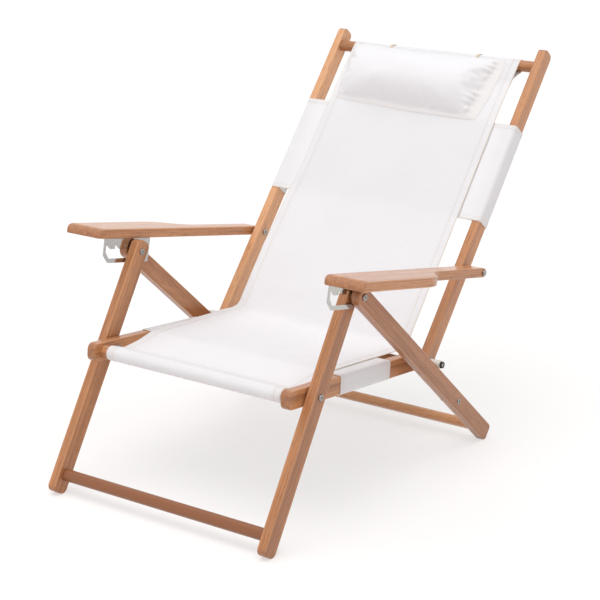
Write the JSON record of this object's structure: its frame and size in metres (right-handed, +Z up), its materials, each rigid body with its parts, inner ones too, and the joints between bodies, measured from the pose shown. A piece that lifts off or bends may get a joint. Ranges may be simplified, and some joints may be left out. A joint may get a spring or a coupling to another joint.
{
  "type": "folding beach chair",
  "caption": "Wood-framed folding beach chair with a canvas sling seat, notched reclining arms, a head pillow and scissor legs that fold flat.",
  "frame": {"origin": "on the floor under the middle of the chair's bounding box", "axes": "+Z up, -Y towards the front of the seat, +X to the viewer's right when facing the seat from the front"},
  "size_m": [0.6996, 1.017, 0.7779],
  "materials": {
    "oiled_teak": "oiled, fine straight grain",
    "polished_stainless": "mirror polished",
    "bright_steel": "zinc plated",
    "white_nylon": "moulded",
    "dark_steel": "blackened",
    "canvas": "off-white woven cotton",
    "cotton_tape": "natural woven tape"
  },
  "bodies": {
    "front_frame": {"front_leg_left": "oiled_teak", "front_leg_right": "oiled_teak", "front_crossbar": "oiled_teak", "apex_bolts": "bright_steel", "apex_nuts": "bright_steel", "apex_washers": "bright_steel", "seat_pivot_bolts": "bright_steel", "seat_pivot_nuts": "bright_steel", "seat_pivot_washers": "bright_steel"},
    "rear_frame": {"rear_leg_left": "oiled_teak", "rear_leg_right": "oiled_teak", "rear_crossbar": "oiled_teak", "stop_pegs": "oiled_teak", "stop_screws": "bright_steel"},
    "seat_frame": {"seat_rail_left": "oiled_teak", "seat_rail_right": "oiled_teak", "seat_front_dowel": "oiled_teak", "seat_rear_dowel": "oiled_teak", "sling_seat": "canvas", "seat_band": "canvas"},
    "back_pins": {"back_pivot_pins": "bright_steel", "back_pivot_sleeves": "white_nylon", "back_pivot_nuts": "dark_steel", "back_pivot_washers": "bright_steel"},
    "back_frame": {"back_rail_left": "oiled_teak", "back_rail_right": "oiled_teak", "back_top_dowel": "oiled_teak", "sling_back": "canvas", "back_band": "canvas", "pillow": "canvas", "pillow_tie_left": "cotton_tape", "pillow_tie_right": "cotton_tape"},
    "arm_bolts": {"arm_pivot_bolts": "bright_steel", "arm_pivot_nuts": "dark_steel", "arm_pivot_washers": "bright_steel"},
    "arm_left": {"arm_left": "oiled_teak", "notch_bracket_left": "polished_stainless", "bracket_screws_left": "bright_steel"},
    "arm_right": {"arm_right": "oiled_teak", "notch_bracket_right": "polished_stainless", "bracket_screws_right": "bright_steel"}
  },
  "joints": [
    {"name": "fold", "type": "hinge", "parent": "front_frame", "child": "seat_frame", "pos_m": [0, -0.33781, 0.26053], "axis": [1, 0, 0], "range_deg": [0, 56]},
    {"name": "rear_leg_fold", "type": "hinge", "parent": "front_frame", "child": "rear_frame", "pos_m": [0, -0.23349, 0.428], "axis": [1, 0, 0], "range_deg": [-77.1, 0]},
    {"name": "back_fold", "type": "hinge", "parent": "seat_frame", "child": "back_pins", "pos_m": [0, 0.04281, 0.219], "axis": [1, 0, 0], "range_deg": [-56.1, 0]},
    {"name": "recline", "type": "hinge", "parent": "back_pins", "child": "back_frame", "pos_m": [0, 0.04281, 0.219], "axis": [1, 0, 0], "range_deg": [-31, 0]},
    {"name": "arm_recline", "type": "hinge", "parent": "back_frame", "child": "arm_bolts", "pos_m": [0, 0.17526, 0.37829], "axis": [1, 0, 0], "range_deg": [0, 22.2]},
    {"name": "arm_lift_left", "type": "hinge", "parent": "arm_bolts", "child": "arm_left", "pos_m": [0, 0.17526, 0.37829], "axis": [-1, 0, 0], "range_deg": [0, 117]},
    {"name": "arm_lift_right", "type": "hinge", "parent": "arm_bolts", "child": "arm_right", "pos_m": [0, 0.17526, 0.37829], "axis": [-1, 0, 0], "range_deg": [0, 117]}
  ],
  "couplings": [
    {"joint": "rear_leg_fold", "follows": "fold", "ratio": -1.375},
    {"joint": "back_fold", "follows": "fold", "ratio": -1},
    {"joint": "arm_recline", "follows": "recline", "ratio": -0.71285}
  ]
}
